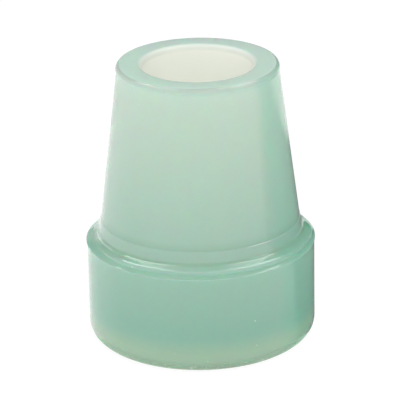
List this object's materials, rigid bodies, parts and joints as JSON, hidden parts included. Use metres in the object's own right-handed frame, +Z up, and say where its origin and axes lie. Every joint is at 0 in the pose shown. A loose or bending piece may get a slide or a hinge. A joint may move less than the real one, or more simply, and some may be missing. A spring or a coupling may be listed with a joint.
{
  "type": "cane tip",
  "caption": "Moulded rubber tip for a walking cane: tapered sleeve with a round blind bore above a wider foot with a coved, stepped shoulder and a ring-grooved flat sole.",
  "frame": {"origin": "centre of the flat sole, on the bore's axis", "axes": "+Z up along the bore towards its open mouth; the part is round, so X and Y are free"},
  "size_m": [0.0402, 0.0402, 0.05],
  "materials": {
    "milky_rubber": "glossy, milky translucent pale green rubber, paler where the wall is thin"
  },
  "bodies": {
    "root": {"cane_tip": "milky_rubber"}
  },
  "joints": []
}
